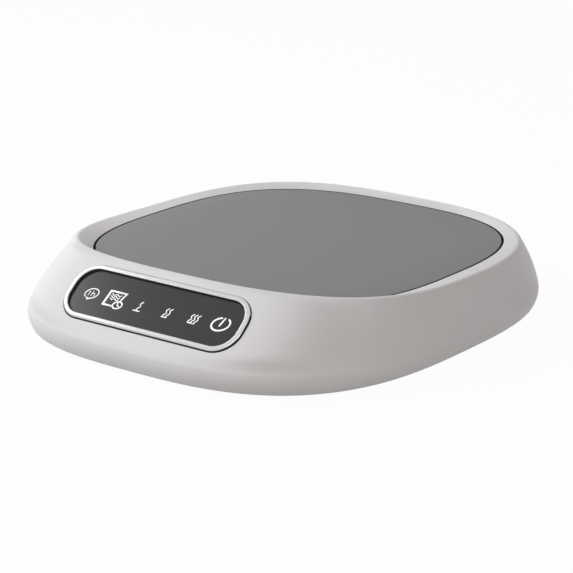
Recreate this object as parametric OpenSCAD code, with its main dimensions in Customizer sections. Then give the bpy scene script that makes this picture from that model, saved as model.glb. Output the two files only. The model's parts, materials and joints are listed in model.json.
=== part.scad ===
// Electric mug warmer: a low squircle body with a raised front brow, a floating heating
// plate that presses a weight switch, and a sloped touch panel on the front face.
// Frame: millimetres, +Z up, front faces -Y, origin on the table under the middle of the body.

/* [Body] */
// Distance from the plate's edge out to the body's widest line at the sides
side_out = 9.4; // [8.6:0.1:12]
// Distance from the plate's edge out to the body's widest line at the front
front_out = 21.8; // [20:0.1:24]
// Distance from the plate's edge out to the body's widest line at the back
back_out = 10.9; // [10:0.1:13]
// Squareness of the body's outline, 2 is an ellipse
body_n = 2.95; // [2.6:0.05:3.4]
// Height of the widest line above the table
widest_z = 6.9; // [6:0.1:8]
// Gap between the table and the skirt's lower edge
skirt_gap = 1.2; // [0.8:0.1:1.6]
// How far the skirt's lower edge lies inside the widest line
skirt_in = 1.0; // [0.5:0.1:1.6]
// Bulge of the skirt between its edges
skirt_bulge = 0.7; // [0.3:0.1:1]
// Bulge of the sloped wall between the widest line and the crest
wall_bulge = 0.9; // [0.4:0.1:1.4]
// Thickness of the moulded walls
wall_t = 2.0; // [1.6:0.1:2.4]

/* [Rim] */
// Distance from the plate's edge out to the crest at the sides
rim_side = 5.85; // [4.5:0.05:6.5]
// Distance from the plate's edge out to the crest at the front
rim_front = 2.6; // [1.8:0.1:4]
// Distance from the plate's edge out to the crest at the back
rim_back = 1.6; // [1.4:0.1:4]
// Squareness of the crest's outline
crest_n = 2.9; // [2.7:0.05:3.4]
// Height of the crest above the plate at the sides
rim_rise = 0.65; // [0.5:0.05:2]
// Extra height of the front crest over the back crest, half of it
rim_tilt = 0.9; // [0.4:0.02:1.6]
// Extra height of the front and back crest over the sides
rim_saddle = 2.4; // [1:0.05:3]
// Length of the rounding at the crest and at the widest line
crest_round = 1.1; // [0.7:0.1:1.6]

/* [Heating plate] */
// Width and length of the heating plate
plate_w = 100; // [90:0.5:110]
// Squareness of the plate's outline
plate_n = 2.88; // [2.6:0.02:3.2]
// Thickness of the plate
plate_t = 2.5; // [2:0.1:3]
// Height of the plate's top above the table
plate_top = 19.1; // [18.6:0.1:21]
// Open gap between the plate and the rim's lip
plate_gap = 0.45; // [0.35:0.05:0.7]
// Travel of the plate from its upper stop to its lower stop
plate_travel = 0.8; // [0.5:0.1:1]

/* [Plate carrier] */
// Height of the carrier ring
carrier_h = 3.7; // [3.4:0.1:4.2]
// Distance from the plate's edge in to the carrier's inner edge
carrier_in = 8.0; // [7:0.5:9]
// How far the carrier's stop flange reaches past the plate's edge
flange_out = 1.8; // [1.6:0.1:2]
// Thickness of the stop flange
flange_t = 1.6; // [1.2:0.1:1.8]
// Thickness of the silicone seal between plate and carrier
seal_t = 0.3; // [0.2:0.05:0.4]
// Clearance at a stop or seat between pieces that move apart
seat_gap = 0.3; // [0.2:0.05:0.4]
// Distance between a guide sleeve and the carrier's inner edge
guide_edge = 0.3; // [0.2:0.1:1]
// Diameter of a guide pin
pin_d = 3.0; // [2.4:0.1:3.2]
// Radial clearance between a guide pin and its sleeve
pin_gap = 0.06; // [0.03:0.01:0.09]
// Outer diameter of a guide sleeve
sleeve_d = 6.4; // [5.6:0.2:6.8]
// Depth of a guide sleeve below the carrier ring
sleeve_drop = 3.6; // [3:0.1:4]
// Wire diameter of the plate springs
spring_wire = 0.5; // [0.4:0.05:0.6]
// Mean diameter of the plate springs
spring_d = 4.6; // [4.4:0.1:5]
// Turns of a plate spring
spring_turns = 4; // [3:1:4]

/* [Heater stack] */
// Clearance between the heater and the posts of the pressure plate's screws
heater_gap = 1.0; // [0.5:0.1:4]
// Thickness of a mica sheet
mica_t = 0.3; // [0.2:0.05:0.4]
// Thickness of the heating ribbon
ribbon_t = 0.2; // [0.15:0.05:0.3]
// Width of the heating ribbon
ribbon_w = 2.2; // [1.6:0.1:2.6]
// Number of rings that the heating ribbon makes
ribbon_rings = 7; // [5:1:8]
// Thickness of the insulation pad
pad_t = 1.2; // [0.8:0.1:1.4]
// Thickness of the pressure plate
press_t = 0.6; // [0.5:0.1:0.8]
// Diameter of the thermostat
thermostat_d = 13; // [11:0.5:14]
// Height of the thermostat
thermostat_h = 4.2; // [3.6:0.1:4.6]

/* [Touch panel] */
// Length of the panel glass
glass_w = 54.4; // [50:0.2:57.6]
// Height of the panel glass along the slope
glass_h = 13.3; // [11.6:0.1:14]
// Corner radius of the panel glass
glass_r = 5.4; // [4:0.1:5.8]
// Thickness of the panel glass
glass_t = 1.0; // [0.8:0.1:1.1]
// Thickness of the black gasket between the glass and the bezel
gasket_t = 0.2; // [0.15:0.05:0.3]
// Width of the bezel ring that shows round the glass
bezel_w = 1.35; // [1:0.05:1.6]
// Height of the bezel over the panel plane
bezel_proud = 0.45; // [0.4:0.05:0.6]
// Depth of the glass below the panel plane
glass_deep = 0.55; // [0.4:0.05:0.8]
// Depth of the panel's seat below the panel plane
seat_deep = 2.4; // [2.2:0.1:2.8]
// Open gap between the bezel and the housing's pocket
pocket_gap = 0.1; // [0.05:0.05:0.3]
// Distance of the panel's middle up the slope from the slope's middle
panel_up = 1.1; // [0.6:0.05:1.4]
// Distance of the panel's middle to the right of the body's middle
panel_x = 0.6; // [0:0.1:1.2]
// Depth of the panel plane below the bulged wall
panel_sink = 0.75; // [0.5:0.05:0.85]
// Thickness of the touch board
touch_t = 1.0; // [0.8:0.1:1.2]
// Number of touch keys
keys = 6; // [4:1:6]
// Distance from the glass's ends in to the light frame
light_in = 2.1; // [1.8:0.1:2.6]

/* [Base and feet] */
// Thickness of the base cover's floor
floor_t = 1.8; // [1.5:0.1:2.2]
// Clearance between the base cover and the housing
base_gap = 0.2; // [0.15:0.05:0.3]
// Height of the base cover's rim above its floor
base_rim_h = 3.2; // [2.5:0.1:3.4]
// Depth of the base cover inside the skirt
base_sink = 0.3; // [0.1:0.1:0.5]
// Diameter of a rubber foot
foot_d = 10; // [8:0.5:12]
// Distance of a foot's middle inside the base cover's side edge
foot_side_in = 30.2; // [28:0.1:32]
// Distance of a foot's middle inside the base cover's front and back edge
foot_end_in = 13.15; // [12:0.05:14]
// Distance of the front screws inside the widest line
front_screw_in = 9.5; // [9:0.1:10.5]
// Distance of the back screws inside the widest line
back_screw_in = 8.6; // [8.2:0.1:9.4]
// Inner diameter of the cord gland
cord_hole_d = 5.6; // [5:0.1:6]
// Height of the cord gland's axis above the table
cord_z = 9.2; // [9:0.1:9.6]

/* [Main board] */
// Clearance between the main board and the posts of the plate springs
board_gap = 2.2; // [1.5:0.1:4]
// Length of the main board
board_l = 44; // [42:1:46]
// Thickness of the main board
board_t = 1.6; // [1.2:0.1:1.6]
// Distance of the main board's middle behind the plate's middle
board_back = 18.55; // [17.5:0.05:19.5]
// Height of the posts under the main board
post_h = 1.0; // [0.8:0.1:1.4]

/* [Hidden] */

// Resolution: points round an outline, and sides of a round hole or post
around = 96;
$fn = 48;

// Heights, from the plate's top down and from the table up
plate_z = plate_top - plate_t;
carrier_top = plate_z - seal_t;
carrier_z = carrier_top - carrier_h;
flange_top = carrier_z + flange_t;
collar_z = flange_top + seat_gap;
ribbon_z = plate_z - mica_t - ribbon_t;
mica_low_z = ribbon_z - mica_t;
pad_z = mica_low_z - pad_t;
press_z = pad_z - press_t;
sleeve_z = carrier_z - sleeve_drop;
base_z = skirt_gap + base_sink;
floor_z = base_z + floor_t;
board_z = floor_z + post_h;
board_top = board_z + board_t;
spring_z = floor_z + 1.7;

// Outlines
body_w = plate_w + 2 * side_out;
body_l = plate_w + front_out + back_out;
plate_back = (front_out - back_out) / 2;
plate_r = plate_w / 2;
lip_r = plate_r + plate_gap;
collar_t = 1.8;
crest_a = plate_r + rim_side;
crest_b = plate_r + (rim_front + rim_back) / 2;
crest_y = plate_back + (rim_back - rim_front) / 2;
carrier_r = plate_r - carrier_in;
skirt_a = body_w / 2 - skirt_in;
skirt_b = body_l / 2 - skirt_in;
base_a = skirt_a - wall_t - base_gap;
base_b = skirt_b - wall_t - base_gap;
base_rim_t = 1.4;
foot_x = base_a - foot_side_in;
foot_y = base_b - foot_end_in;

// Screws and posts
housing_screw = [2.5, 1.6, 1.25];
small_screw = [1.9, 1.0, 0.85];
screw_web = 1.8;
boss_r = 2.9;
front_boss_top = 14.2;
back_boss_top = 11;
foot_recess = 0.9;
post_r = 2.6;
press_post_r = 2.6;
press_hole_at = carrier_r + 0.2 - press_post_r;
heater_r = press_hole_at - press_post_r - heater_gap;
guide_top = carrier_top - 1.2;
guide_at = (carrier_r + (sleeve_d / 2 + guide_edge) * pow(2, 1 / plate_n - 0.5))
    * pow(2, -1 / plate_n);
spring_post_r = spring_d / 2 + 1;
board_w = 2 * (guide_at - spring_post_r - board_gap);
board_y = plate_back + board_back;
post_at = [board_w / 2 - 3.5, board_l / 2 - 4];

// Wall of the body: rings, roundings and the flat round the panel
wall_steps = [0.13, 0.21, 0.3, 0.4, 0.5, 0.6, 0.7, 0.8, 0.88, 0.92];
lip_round = 0.35;
skirt_round = 0.6;
roof_t = 2.6;
flat_fade = 16;
flat_most = 0.8;
flat_guard = 0.14;

function lerp(a, b, k) = a + (b - a) * k;
function smooth(x) = let (v = min(1, max(0, x))) v * v * (3 - 2 * v);
function unit(v) = v / norm(v);

// Point of a superellipse at polar angle t
function sq(a, b, n, t) =
    let (r = pow(pow(abs(cos(t)) / a, n) + pow(abs(sin(t)) / b, n), -1 / n))
    [r * cos(t), r * sin(t)];
function outline(a, b, n) = [for (i = [0 : around - 1]) sq(a, b, n, 360 * i / around)];
function at_z(p, z) = [p[0], p[1], z];
function bend(a, b, c, k) = lerp(lerp(a, b, k), lerp(b, c, k), k);

// Lines of the body, as functions of the polar angle
function widest(t) = at_z(sq(body_w / 2, body_l / 2, body_n, t), widest_z);
function skirt_edge(t) = at_z(sq(skirt_a, skirt_b, body_n, t), skirt_gap);
function crest(t) =
    let (p = sq(crest_a, crest_b, crest_n, t), y = p[1] + crest_y,
         u = (plate_back - y) / plate_r)
    [p[0], y, plate_top + rim_rise + rim_tilt * u + rim_saddle * u * u];
function lip(t, grow = 0, z = plate_top) =
    at_z(sq(lip_r + grow, lip_r + grow, plate_n, t) + [0, plate_back], z);

// The panel's frame: its middle, its slope and the distance between crest and widest line
slope_run = crest(-90)[1] - widest(-90)[1];
slope_rise = crest(-90)[2] - widest(-90)[2];
slope = atan2(slope_rise, slope_run);
slope_l = norm([slope_run, slope_rise]);
slope_up = [0, cos(slope), sin(slope)];
slope_out = [0, -sin(slope), cos(slope)];
panel_at = (widest(-90) + crest(-90)) / 2 + slope_up * panel_up
    + slope_out * (wall_bulge - panel_sink) + [panel_x, 0, 0];
opening_half = [glass_w / 2 + gasket_t, glass_h / 2 + gasket_t];
opening_r = glass_r + gasket_t;
bezel_half = opening_half + [bezel_w, bezel_w];
bezel_r = opening_r + bezel_w;

// The wall bulges between the widest line and the crest, and is flat round the panel
function wall_raw(k, t) =
    let (m = widest(t), d = crest(t) - m, run = norm([d[0], d[1]]),
         out = unit([-d[0] * d[2] / run, -d[1] * d[2] / run, run]))
    m + d * k + out * 4 * k * (1 - k) * wall_bulge;
function panel_far(x, s) =
    norm([max(0, abs(x) - bezel_half[0] + bezel_r), max(0, abs(s) - bezel_half[1] + bezel_r)])
    - bezel_r;
function wall_flat(k, t) =
    let (p = wall_raw(k, t), d = p - panel_at, h = d * slope_out, s = d * slope_up)
    p - slope_out * h * (p[1] < panel_at[1] + slope_l ? 1 : 0)
        * flat_most * (1 - smooth(panel_far(d[0], s) / flat_fade))
        * smooth(k / flat_guard) * smooth((1 - k) / flat_guard)
        * (p[1] < 0 ? 1 : 0);
function skirt(k, t) =
    let (b = skirt_edge(t), m = widest(t), out = unit([m[0], m[1], 0]))
    lerp(b, m, k) + out * 4 * k * (1 - k) * skirt_bulge;

// Inner face of the wall: the outer face moved inwards by the wall's level thickness
function wall_in(k, t) =
    let (p = wall_raw(k, t), d = crest(t) - widest(t),
         level = wall_t * norm(d) / d[2], r = norm([p[0], p[1]]))
    [p[0] * (1 - level / r), p[1] * (1 - level / r), p[2]];
function collar(t, z) = lip(t, collar_t, z);
// Highest place of the inner face: under the crest's roof and outside the collar
function roof_k(t) =
    let (m = widest(t), c = crest(t), level = wall_t * norm(c - m) / (c[2] - m[2]),
         r_c = norm([collar(t, 0)[0], collar(t, 0)[1]]) + level + 0.4)
    min((c[2] - roof_t - m[2]) / (c[2] - m[2]),
        (norm([m[0], m[1]]) - r_c) / (norm([m[0], m[1]]) - norm([c[0], c[1]])));

// One closed section through the housing, from the bottom face out, up, over the crest,
// down the collar and back along the inner face
function section(t) =
    let (m = widest(t), c = crest(t), l = lip(t), b = skirt_edge(t),
         in_b = at_z(sq(skirt_a - wall_t, skirt_b - wall_t, body_n, t), skirt_gap),
         k1 = crest_round / norm(c - m), w0 = wall_flat(k1, t), w1 = wall_flat(1 - k1, t),
         s1 = skirt(0.8, t), c1 = lerp(c, l, crest_round / norm(c - l)),
         l1 = lerp(l, c, lip_round / norm(c - l)), l2 = lip(t, 0, plate_top - lip_round),
         b1 = lerp(b, in_b, skirt_round / wall_t), b2 = skirt(0.1, t), kr = roof_k(t),
         roof = wall_in(kr, t))
    concat([in_b, b1, bend(b1, b, b2, 0.5), b2, skirt(0.35, t), skirt(0.68, t), s1,
            bend(s1, m, w0, 0.5), w0],
        [for (k = wall_steps) wall_flat(k, t)],
        [w1, bend(w1, c, c1, 0.25), bend(w1, c, c1, 0.5), bend(w1, c, c1, 0.75), c1],
        [lerp(c1, l1, 0.5), l1, bend(l1, l, l2, 0.5), l2],
        [lip(t, 0, collar_z), collar(t, collar_z), collar(t, roof[2]), roof],
        [wall_in(kr / 2, t), wall_in(0, t)]);

// Closed ring of sections
module ring_solid(sections) {
    rows = len(sections);
    cols = len(sections[0]);
    at = function(i, j) (i % rows) * cols + (j % cols);
    polyhedron([for (s = sections) each s],
        [for (i = [0 : rows - 1]) for (j = [0 : cols - 1])
            each [[at(i, j), at(i + 1, j + 1), at(i + 1, j)],
                  [at(i, j), at(i, j + 1), at(i + 1, j + 1)]]],
        convexity = 8);
}

// Tube of radius r along a path of points; ref is a direction that the path never follows
module tube(path, r, sides, ref) {
    last = len(path) - 1;
    ring = function(i)
        let (along = unit(path[min(i + 1, last)] - path[max(i - 1, 0)]),
             side = unit(cross(ref, along)), up = cross(along, side))
        [for (j = [0 : sides - 1]) path[i] + r * (side * cos(360 * j / sides)
            + up * sin(360 * j / sides))];
    polyhedron([for (i = [0 : last]) each ring(i)],
        concat([[for (j = [0 : sides - 1]) j]],
            [for (i = [0 : last - 1]) for (j = [0 : sides - 1])
                each [[i * sides + j, (i + 1) * sides + j, (i + 1) * sides + (j + 1) % sides],
                      [i * sides + j, (i + 1) * sides + (j + 1) % sides,
                       i * sides + (j + 1) % sides]]],
            [[for (j = [sides - 1 : -1 : 0]) last * sides + j]]),
        convexity = 6);
}

module squircle(r, n = plate_n) {
    translate([0, plate_back]) polygon(outline(r, r, n));
}
module slab(z, h) {
    translate([0, 0, z]) linear_extrude(h) children();
}
// Rounded rectangle from exact arcs
module round_rect(half, r) {
    square([2 * half[0], 2 * (half[1] - r)], center = true);
    square([2 * (half[0] - r), 2 * half[1]], center = true);
    for (x = [-1, 1]) for (y = [-1, 1])
        translate([x * (half[0] - r), y * (half[1] - r)]) circle(r);
}
module on_panel() {
    translate(panel_at) rotate([slope, 0, 0]) children();
}
module at_corners(p) {
    for (x = [-1, 1]) for (y = [-1, 1]) translate([x * p[0], y * p[1], 0]) children();
}
module at_guides() {
    translate([0, plate_back, 0]) at_corners([guide_at, guide_at]) children();
}
// Screw with its head's underside at z = 0 and its shank upwards: head radius, height, shank
module screw(size, length) {
    translate([0, 0, -size[1]]) difference() {
        cylinder(h = size[1], r = size[0]);
        translate([0, 0, -1]) cylinder(h = 1 + size[1] / 2, r = size[0] * 0.55, $fn = 6);
    }
    cylinder(h = length, r = size[2]);
}

// Places of the housing screws
screw_spots = [for (x = [-1, 1]) for (y = [-1, 1])
    let (m = sq(body_w / 2, body_l / 2, body_n, 50),
         k = 1 - (y < 0 ? front_screw_in : back_screw_in) / norm(m))
    [x * m[0] * k, y * m[1] * k]];
// Level distance of the wall's chord from the body's axis, at polar angle t and height z
function chord_r(t, z) =
    let (m = widest(t), c = crest(t))
    lerp(norm([m[0], m[1]]), norm([c[0], c[1]]), (z - m[2]) / (c[2] - m[2]));
screw_seat = base_z + 2;
boss_z = screw_seat + screw_web;
rib_z = floor_z + base_rim_h + 0.3;

module upper_housing() color([0.88, 0.88, 0.87]) {
    difference() {
        union() {
            ring_solid([for (i = [0 : around - 1]) section(360 * i / around)]);
            for (p = screw_spots) translate([p[0], p[1], boss_z])
                cylinder(h = (p[1] < 0 ? front_boss_top : back_boss_top) - boss_z, r = boss_r);
            for (p = screw_spots) let (t = atan2(p[1], p[0]), r = norm(p) + wall_t / 2)
                translate([p[0], p[1], 0]) rotate(t) translate([0, 0.9, 0]) rotate([90, 0, 0])
                linear_extrude(1.8) polygon([[0, rib_z], [chord_r(t, rib_z) - r, rib_z],
                    [chord_r(t, back_boss_top) - r, back_boss_top], [0, back_boss_top]]);
            on_panel() slab(-seat_deep - 1.6, 3)
                round_rect(bezel_half + [1.8, 1.2], bezel_r + 1.2);
            on_panel() for (x = [-1, 1]) translate([x * touch_screw_x, 0, touch_front])
                cylinder(h = -seat_deep - 1 - touch_front, r = 2);
        }
        on_panel() slab(-seat_deep, 6)
            round_rect(bezel_half + [pocket_gap, pocket_gap], bezel_r + pocket_gap);
        on_panel() slab(-seat_deep - 6, 12) round_rect(light_half + [0.2, 0.2], 1.4);
        for (p = screw_spots) translate([p[0], p[1], boss_z - 1])
            cylinder(h = 1 + 5, r = housing_screw[2] + 0.05);
        on_panel() for (x = [-1, 1]) translate([x * touch_screw_x, 0, touch_front - 1])
            cylinder(h = 2.4, r = small_screw[2] + 0.05);
        translate([0, body_l / 2 + 2, cord_z]) rotate([90, 0, 0])
            cylinder(h = 12, r = gland_r + 0.1);
    }
}

// Base cover: floor, locating rim, screw wells, foot recesses, posts, pin bosses and vents
gland_r = cord_hole_d / 2 + 0.9;
gland_in = base_b - base_rim_t - 3;
module vents() {
    for (x = [-1, 1]) for (i = [0 : 4])
        translate([x * 17, -18 + i * 5]) round_rect([7, 0.9], 0.6);
}
module base_cover() color([0.62, 0.62, 0.61]) {
    difference() {
        union() {
            slab(base_z, floor_t) polygon(outline(base_a, base_b, body_n));
            slab(floor_z, base_rim_h) difference() {
                polygon(outline(base_a, base_b, body_n));
                polygon(outline(base_a - base_rim_t, base_b - base_rim_t, body_n));
                translate([0, body_l / 2]) square([2 * gland_r + 3, 12], center = true);
            }
            for (p = screw_spots) translate([p[0], p[1], base_z])
                cylinder(h = boss_z - base_z, r = 4);
            at_guides() translate([0, 0, base_z])
                cylinder(h = spring_z - base_z, r = spring_post_r);
            translate([0, board_y, base_z]) at_corners(post_at)
                cylinder(h = board_z - base_z, r = post_r);
            translate([-gland_r - 1.2, gland_in + 1.4, base_z])
                cube([2 * gland_r + 2.4, 3, cord_z - base_z]);
        }
        for (p = screw_spots) translate([p[0], p[1], 0]) {
            cylinder(h = screw_seat, r = housing_screw[0] + 0.3);
            cylinder(h = boss_z + 1, r = housing_screw[2] + 0.25);
        }
        at_corners([foot_x, foot_y]) cylinder(h = base_z + foot_recess, r = foot_d / 2 + 0.1);
        at_guides() translate([0, 0, base_z + 0.8]) cylinder(h = 10, r = pin_d / 2);
        translate([0, board_y, base_z + 0.6]) at_corners(post_at)
            cylinder(h = 10, r = small_screw[2] + 0.05);
        slab(0, floor_z + 1) vents();
        translate([0, body_l / 2, cord_z]) rotate([90, 0, 0]) cylinder(h = 14, r = gland_r + 0.05);
    }
}

module rubber_feet() color([0.16, 0.16, 0.17]) {
    top = base_z + foot_recess;
    r = foot_d / 2;
    at_corners([foot_x, foot_y]) rotate_extrude()
        polygon([[0, 0], [r - 1.3, 0], [r - 0.7, 0.15], [r - 0.25, 0.45], [r, base_z], [r, top],
                 [0, top]]);
}

module housing_screws() color([0.55, 0.56, 0.58]) {
    for (p = screw_spots) translate([p[0], p[1], screw_seat]) screw(housing_screw, screw_web + 4.6);
}

// The plate has a fine rounded edge, made by three thin steps
edge_steps = [[0, 0.35], [0.12, 0.15], [0.35, 0]];
module heating_plate() color([0.53, 0.53, 0.54]) {
    slab(plate_z, plate_t - 0.35) squircle(plate_r);
    slab(plate_top - 0.35, 0.2) squircle(plate_r - 0.12);
    slab(plate_top - 0.15, 0.15) squircle(plate_r - 0.35);
}

module plate_seal() color([0.75, 0.3, 0.22]) {
    slab(carrier_top, seal_t) difference() {
        squircle(plate_r - 1);
        squircle(carrier_r + 2);
    }
}

module press_spots() {
    translate([0, plate_back, 0]) for (a = [0 : 90 : 270]) rotate(a)
        translate([press_hole_at, 0, 0]) children();
}

module plate_carrier() color([0.24, 0.23, 0.22]) {
    difference() {
        union() {
            slab(carrier_z, carrier_h) difference() {
                squircle(plate_r - 0.6);
                squircle(carrier_r);
            }
            slab(carrier_z, flange_t) difference() {
                squircle(plate_r + flange_out);
                squircle(plate_r - 1);
            }
            at_guides() translate([0, 0, sleeve_z]) cylinder(h = sleeve_drop + 1, r = sleeve_d / 2);
            press_spots() translate([0, 0, press_z + press_t])
                cylinder(h = carrier_top - press_z - press_t, r = press_post_r);
        }
        at_guides() translate([0, 0, sleeve_z - 1])
            cylinder(h = guide_top - sleeve_z + 1, r = pin_d / 2 + pin_gap);
        press_spots() translate([0, 0, press_z]) cylinder(h = 1.9, r = small_screw[2] + 0.05);
    }
}

// Heater stack: two mica sheets with the ribbon between them, an insulation pad and a
// pressure plate that the screws pull up against the carrier
sensor_at = [0, plate_back];
ribbon_slot = 6.5;
ribbon_pitch = (heater_r - 6) / ribbon_rings;
strip_end = 0.61 * heater_r;
ribbon_side = ribbon_rings % 2 == 0 ? -1 : 1;
function ring_r(i) = 4 + i * ribbon_pitch;
lead_spots = [
    [-ring_r(ribbon_rings) + ribbon_w / 2 + 0.2,
        plate_back + ribbon_side * (ribbon_slot + ribbon_w) / 2],
    [-strip_end, plate_back]];
module disc(z, h, r) {
    difference() {
        translate([0, plate_back, z]) cylinder(h = h, r = r);
        translate([sensor_at[0], sensor_at[1], z - 1]) cylinder(h = h + 2, r = 1.6);
    }
}
module lead_holes(z, h) {
    for (p = lead_spots) translate([p[0], p[1], z - 1]) cylinder(h = h + 2, r = 1.5);
}
module mica_sheet_top() color([0.78, 0.7, 0.5]) disc(plate_z - mica_t, mica_t, heater_r);

// The ribbon goes round in open rings, joined in turn at the two sides of a slot. Its
// ends are the outermost ring and a strip that runs out along the slot.
module ring_band(inner, outer) {
    difference() {
        circle(outer);
        circle(inner);
    }
}
module heater_ribbon() color([0.72, 0.7, 0.66]) {
    slab(ribbon_z, ribbon_t) translate([0, plate_back]) {
        difference() {
            for (i = [1 : ribbon_rings]) ring_band(ring_r(i) - ribbon_w, ring_r(i));
            translate([-heater_r, 0]) square([2 * heater_r, ribbon_slot], center = true);
            translate([-ribbon_slot, -ribbon_slot / 2]) square(ribbon_slot);
        }
        difference() {
            for (i = [1 : ribbon_rings]) ring_band(ring_r(i) - ribbon_w, ring_r(i));
            translate([-2 * heater_r, -heater_r]) square(2 * heater_r);
        }
        for (i = [1 : ribbon_rings - 1]) intersection() {
            ring_band(ring_r(i) - ribbon_w, ring_r(i + 1));
            translate([-heater_r,
                (i % 2 == 1 ? ribbon_slot / 2 : -ribbon_slot / 2 - ribbon_w)])
                square([heater_r, ribbon_w]);
        }
        translate([-ring_r(1) + 0.3, -ribbon_slot / 2 - 0.3]) square([1.6, ribbon_slot / 2 + 1.2]);
        translate([-strip_end - 0.9, -0.9]) square([strip_end - ring_r(1) + 2.8, 1.8]);
    }
    for (p = lead_spots) translate([p[0], p[1], press_z - 1.2])
        cylinder(h = ribbon_z - press_z + 1.2, r = 0.9);
}
module mica_sheet_bottom() color([0.78, 0.7, 0.5]) difference() {
    disc(mica_low_z, mica_t, heater_r);
    lead_holes(mica_low_z, mica_t);
}
module insulation_pad() color([0.9, 0.89, 0.84]) difference() {
    disc(pad_z, pad_t, heater_r - 0.5);
    lead_holes(pad_z, pad_t);
}
module pressure_plate() color([0.72, 0.73, 0.74]) difference() {
    disc(press_z, press_t, carrier_r - seat_gap);
    lead_holes(press_z, press_t);
    press_spots() translate([0, 0, press_z - 1]) cylinder(h = press_t + 2, r = small_screw[2] + 0.25);
}
module pressure_plate_screws() color([0.6, 0.6, 0.62]) {
    press_spots() translate([0, 0, press_z]) screw(small_screw, press_t + 1.2);
}

// Thermostat, fuse and sensor hang under the pressure plate
thermostat_at = [0.11 * heater_r, plate_back - 0.61 * heater_r];
fuse_at = [0.555 * heater_r, plate_back - 0.39 * heater_r];
module thermostat() color([0.12, 0.12, 0.13]) {
    translate([thermostat_at[0], thermostat_at[1], press_z]) {
        translate([0, 0, -1.2]) cylinder(h = 1.2, r = thermostat_d / 2);
        translate([0, 0, -thermostat_h]) cylinder(h = thermostat_h - 1.2, r = thermostat_d / 2 - 1);
        for (x = [-1, 1]) translate([x * 3.2 - 1.4, thermostat_d / 2 - 3, -thermostat_h + 0.8])
            cube([2.8, 8, 0.6]);
    }
}
module thermal_fuse() color([0.8, 0.8, 0.8]) {
    fuse_r = 1.6;
    translate([fuse_at[0], fuse_at[1], press_z - fuse_r]) {
        rotate([90, 0, 0]) cylinder(h = 10, r = fuse_r, center = true);
        rotate([90, 0, 0]) cylinder(h = 20, r = 0.45, center = true);
    }
    translate([fuse_at[0] - 2, fuse_at[1] - 3, press_z - 2 * fuse_r - 0.4]) cube([4, 6, 0.8]);
}
module temperature_sensor() color([0.15, 0.15, 0.16]) {
    translate([sensor_at[0], sensor_at[1], press_z - 1.4])
        cylinder(h = plate_z - press_z + 1.4 - 0.05, r = 1.3);
}

module guide_pins() color([0.7, 0.71, 0.72]) {
    at_guides() translate([0, 0, base_z + 0.8])
        cylinder(h = guide_top - plate_travel - seat_gap - base_z - 0.8, r = pin_d / 2);
}
module plate_springs() color([0.66, 0.67, 0.69]) {
    wire_r = spring_wire / 2;
    low = spring_z + wire_r;
    rise = sleeve_z - spring_z - 2 * wire_r;
    steps = 12 * spring_turns;
    at_guides() tube([for (i = [0 : steps]) let (a = 360 * i / 12)
        [spring_d / 2 * cos(a), spring_d / 2 * sin(a), low + rise * i / steps]],
        wire_r, 6, [0, 0, 1]);
}

// Touch panel: bezel, gasket, glass, light frame, board, indicators and the cable to the main board
light_half = [glass_w / 2 - light_in, glass_h / 2 - 2];
key_pitch = (2 * light_half[0] + 0.8) / keys;
touch_front = -seat_deep - 2.6;
touch_screw_x = bezel_half[0] - 1.3;
module bezel_ring(half, r, grow, z, h) {
    slab(z, h) difference() {
        round_rect(half + [grow, grow], r + grow);
        round_rect(opening_half, opening_r);
    }
}
module panel_bezel() color([0.86, 0.87, 0.88]) on_panel() {
    bezel_ring(bezel_half, bezel_r, 0, -seat_deep, seat_deep + bezel_proud - 0.35);
    bezel_ring(bezel_half, bezel_r, -0.15, bezel_proud - 0.35, 0.2);
    bezel_ring(bezel_half, bezel_r, -0.4, bezel_proud - 0.15, 0.15);
    slab(-seat_deep, seat_deep - glass_deep - glass_t) difference() {
        round_rect(bezel_half - [0.4, 0.4], bezel_r - 0.4);
        round_rect([glass_w, glass_h] / 2 - [0.8, 0.8], glass_r - 0.8);
    }
}
module panel_gasket() color([0.06, 0.06, 0.065]) on_panel()
    slab(-glass_deep - glass_t, glass_deep + glass_t + bezel_proud - 0.35) difference() {
        round_rect(opening_half, opening_r);
        round_rect([glass_w, glass_h] / 2, glass_r);
    }
module panel_glass() color([0.23, 0.23, 0.24]) on_panel()
    slab(-glass_deep - glass_t, glass_t) round_rect([glass_w, glass_h] / 2, glass_r);
module at_keys() {
    for (i = [0 : keys - 1]) translate([(i - (keys - 1) / 2) * key_pitch, 0, 0]) children();
}
module light_frame() color([0.93, 0.93, 0.92]) on_panel() difference() {
    slab(touch_front, -glass_deep - glass_t - touch_front) round_rect(light_half, 1.2);
    at_keys() slab(touch_front - 1, 8) round_rect([key_pitch / 2 - 0.6, light_half[1] - 0.8], 0.6);
}
module touch_board() color([0.1, 0.32, 0.2]) on_panel() difference() {
    slab(touch_front - touch_t, touch_t) round_rect([touch_screw_x + 2.2, light_half[1] + 0.6], 1);
    for (x = [-1, 1]) translate([x * touch_screw_x, 0, touch_front - 2])
        cylinder(h = 4, r = small_screw[2] + 0.25);
}
module touch_board_screws() color([0.6, 0.6, 0.62]) on_panel() {
    for (x = [-1, 1]) translate([x * touch_screw_x, 0, touch_front - touch_t])
        screw(small_screw, touch_t + 1.3);
}
module indicator_leds() color([0.96, 0.95, 0.8]) on_panel() {
    at_keys() {
        translate([-1.6, -0.8, touch_front]) cube([3.2, 1.6, 0.5]);
        translate([0, 0, touch_front + 0.5]) cylinder(h = 0.35, r1 = 0.75, r2 = 0.55);
    }
}

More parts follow.
